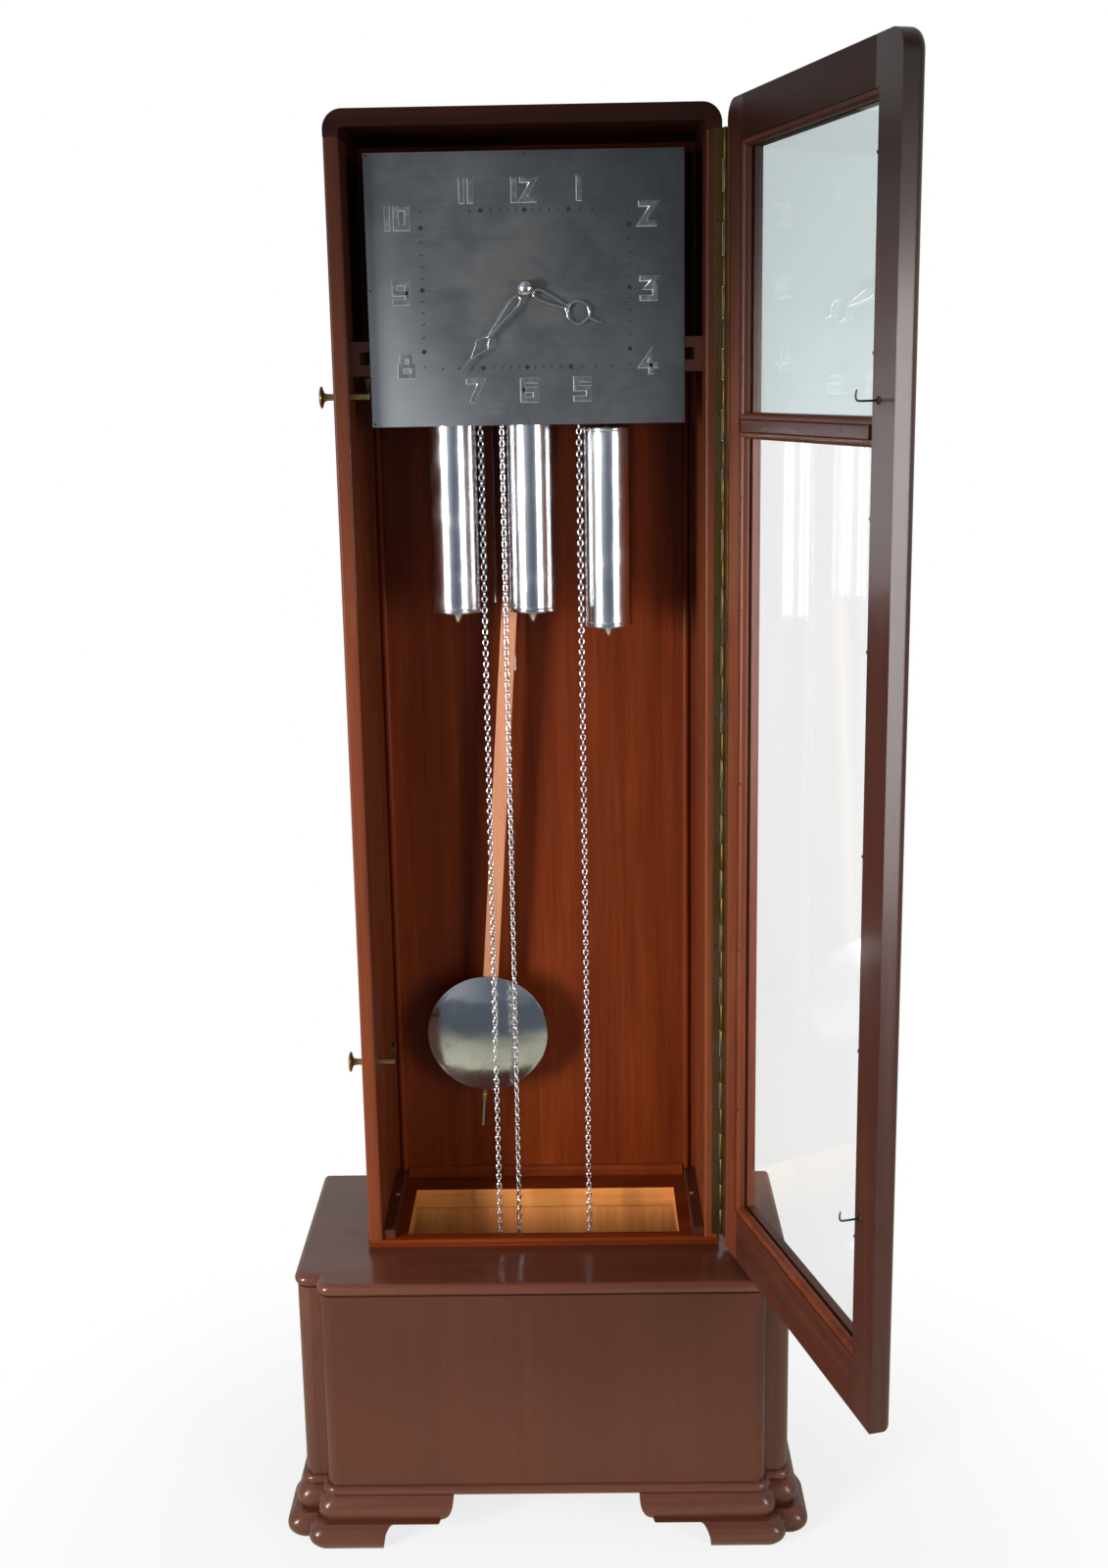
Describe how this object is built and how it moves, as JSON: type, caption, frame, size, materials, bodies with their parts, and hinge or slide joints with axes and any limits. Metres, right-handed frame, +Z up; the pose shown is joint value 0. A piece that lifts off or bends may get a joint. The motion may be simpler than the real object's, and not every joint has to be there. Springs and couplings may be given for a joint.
{
  "type": "longcase chime clock",
  "caption": "Tall art deco chime clock: dark wooden trunk on a stepped base, glazed door standing open, metal dial, chain-hung weights and a long pendulum.",
  "frame": {"origin": "Middle of the bounding box at floor level, with the door standing open as in the picture", "axes": "+Z up, the dial looks towards -Y, +X to the right seen from the front"},
  "size_m": [0.752, 0.703, 1.864],
  "materials": {
    "mahogany": "dark reddish brown stain under satin lacquer",
    "raw_wood": "plain brown wood, thinly varnished",
    "glass": "clear flat glass",
    "brass": "aged brass",
    "steel": "plain steel",
    "chrome": "polished plate",
    "dial_metal": "dull grey metal sheet with raised figures"
  },
  "bodies": {
    "case": {"base_front": "mahogany", "base_left_side": "mahogany", "base_right_side": "mahogany", "base_back": "raw_wood", "base_top": "mahogany", "base_floor": "mahogany", "foot_front_left": "mahogany", "foot_front_right": "mahogany", "foot_rear_left": "mahogany", "foot_rear_right": "mahogany", "trunk_left_side": "mahogany", "trunk_right_side": "mahogany", "trunk_top": "mahogany", "trunk_back": "mahogany", "trunk_floor": "mahogany", "seat_bracket_left": "mahogany", "seat_bracket_right": "mahogany", "seat_board": "raw_wood", "hinge_leaf_trunk": "brass", "dial": "dial_metal", "movement_front_plate": "brass", "movement_back_plate": "brass", "chime_rods": "steel", "chain_left": "steel", "chain_centre": "steel", "chain_right": "steel"},
    "door": {"door_hinge_stile": "mahogany", "door_lock_stile": "mahogany", "door_top_rail": "mahogany", "door_bottom_rail": "mahogany", "door_glazing_bar": "mahogany", "door_glass_upper": "glass", "door_glass_lower": "glass", "door_hook_upper": "steel", "door_hook_lower": "steel", "hinge_leaf_door": "brass"},
    "upper_latch": {"latch_upper": "brass"},
    "lower_latch": {"latch_lower": "brass"},
    "minute_work": {"minute_hand": "chrome", "hand_nut": "chrome", "centre_arbor": "steel"},
    "hour_work": {"hour_hand": "chrome", "hour_wheel": "brass"},
    "motion_wheel": {"minute_wheel": "brass"},
    "escape": {"escape_wheel": "brass"},
    "anchor_and_crutch": {"anchor": "steel"},
    "pendulum": {"suspension_spring": "steel", "pendulum_rod": "raw_wood"},
    "bob": {"pendulum_bob": "chrome"},
    "regulator": {"rating_nut": "steel"},
    "weight_left_body": {"weight_left": "chrome"},
    "chain_wheel_left_body": {"chain_wheel_left": "brass"},
    "weight_centre_body": {"weight_centre": "chrome"},
    "chain_wheel_centre_body": {"chain_wheel_centre": "brass"},
    "weight_right_body": {"weight_right": "chrome"},
    "chain_wheel_right_body": {"chain_wheel_right": "brass"},
    "hammer_1_body": {"hammer_1": "brass"},
    "hammer_2_body": {"hammer_2": "brass"},
    "hammer_3_body": {"hammer_3": "brass"},
    "hammer_4_body": {"hammer_4": "brass"}
  },
  "joints": [
    {"name": "door_swing", "type": "hinge", "parent": "case", "child": "door", "pos_m": [0.22435, 0.1145, 1.1], "axis": [0, 0, 1], "range_deg": [-105.27, 60]},
    {"name": "upper_latch_turn", "type": "hinge", "parent": "case", "child": "upper_latch", "pos_m": [-0.25915, 0.1511, 1.526], "axis": [1, 0, 0], "range_deg": [0, 90]},
    {"name": "lower_latch_turn", "type": "hinge", "parent": "case", "child": "lower_latch", "pos_m": [-0.25915, 0.1511, 0.64], "axis": [1, 0, 0], "range_deg": [0, 90]},
    {"name": "minute_hand_turn", "type": "hinge", "parent": "case", "child": "minute_work", "pos_m": [-0.01915, 0.1561, 1.6541], "axis": [0, 1, 0], "continuous": true},
    {"name": "hour_hand_turn", "type": "hinge", "parent": "case", "child": "hour_work", "pos_m": [-0.01915, 0.1561, 1.6541], "axis": [0, 1, 0], "continuous": true},
    {"name": "minute_wheel_turn", "type": "hinge", "parent": "case", "child": "motion_wheel", "pos_m": [-0.00218, 0.1861, 1.63713], "axis": [0, 1, 0], "continuous": true},
    {"name": "escape_wheel_turn", "type": "hinge", "parent": "case", "child": "escape", "pos_m": [-0.01915, 0.2161, 1.6721], "axis": [0, 1, 0], "continuous": true},
    {"name": "pendulum_swing", "type": "hinge", "parent": "case", "child": "pendulum", "pos_m": [-0.01915, 0.2761, 1.7001], "axis": [0, 1, 0], "range_deg": [-9.2, 0.9]},
    {"name": "anchor_rock", "type": "hinge", "parent": "case", "child": "anchor_and_crutch", "pos_m": [-0.01915, 0.2161, 1.7001], "axis": [0, 1, 0], "range_deg": [-9.2, 0.9]},
    {"name": "bob_slide", "type": "slide", "parent": "pendulum", "child": "bob", "axis": [0.0725, 0, 0.9974], "range_m": [-0.00375, 0.00375]},
    {"name": "rating_nut_turn", "type": "hinge", "parent": "bob", "child": "regulator", "pos_m": [-0.10366, 0.2761, 0.53817], "axis": [0.0725, 0, 0.9974], "range_deg": [-1080, 1080]},
    {"name": "weight_left_drop", "type": "slide", "parent": "case", "child": "weight_left_body", "axis": [0, 0, -1], "range_m": [-0.02, 1.08], "deforming": ["chain_left"]},
    {"name": "chain_wheel_left_turn", "type": "hinge", "parent": "case", "child": "chain_wheel_left_body", "pos_m": [-0.10115, 0.2161, 1.6121], "axis": [0, 1, 0], "range_deg": [-3438.25, 64.16]},
    {"name": "weight_centre_drop", "type": "slide", "parent": "case", "child": "weight_centre_body", "axis": [0, 0, -1], "range_m": [-0.02, 1.08], "deforming": ["chain_centre"]},
    {"name": "chain_wheel_centre_turn", "type": "hinge", "parent": "case", "child": "chain_wheel_centre_body", "pos_m": [-0.03715, 0.2161, 1.6121], "axis": [0, 1, 0], "range_deg": [-64.16, 3438.25]},
    {"name": "weight_right_drop", "type": "slide", "parent": "case", "child": "weight_right_body", "axis": [0, 0, -1], "range_m": [-0.02, 1.08], "deforming": ["chain_right"]},
    {"name": "chain_wheel_right_turn", "type": "hinge", "parent": "case", "child": "chain_wheel_right_body", "pos_m": [0.06285, 0.2161, 1.6121], "axis": [0, 1, 0], "range_deg": [-64.16, 3438.25]},
    {"name": "hammer_1_lift", "type": "hinge", "parent": "case", "child": "hammer_1_body", "pos_m": [-0.04815, 0.2521, 1.655], "axis": [1, 0, 0], "range_deg": [-4, 25], "stiffness_Nm_per_rad": 1},
    {"name": "hammer_2_lift", "type": "hinge", "parent": "case", "child": "hammer_2_body", "pos_m": [-0.06015, 0.2521, 1.655], "axis": [1, 0, 0], "range_deg": [-4, 25], "stiffness_Nm_per_rad": 1},
    {"name": "hammer_3_lift", "type": "hinge", "parent": "case", "child": "hammer_3_body", "pos_m": [-0.07215, 0.2521, 1.655], "axis": [1, 0, 0], "range_deg": [-4, 25], "stiffness_Nm_per_rad": 1},
    {"name": "hammer_4_lift", "type": "hinge", "parent": "case", "child": "hammer_4_body", "pos_m": [-0.08415, 0.2521, 1.655], "axis": [1, 0, 0], "range_deg": [-4, 25], "stiffness_Nm_per_rad": 1}
  ],
  "couplings": [
    {"joint": "hour_hand_turn", "follows": "minute_hand_turn", "ratio": 0.083333},
    {"joint": "minute_wheel_turn", "follows": "minute_hand_turn", "ratio": -0.33333},
    {"joint": "anchor_rock", "follows": "pendulum_swing", "ratio": 1},
    {"joint": "rating_nut_turn", "follows": "bob_slide", "rad_per_m": 5026.5},
    {"joint": "chain_wheel_left_turn", "follows": "weight_left_drop", "rad_per_m": -55.556},
    {"joint": "chain_wheel_centre_turn", "follows": "weight_centre_drop", "rad_per_m": 55.556},
    {"joint": "chain_wheel_right_turn", "follows": "weight_right_drop", "rad_per_m": 55.556}
  ]
}
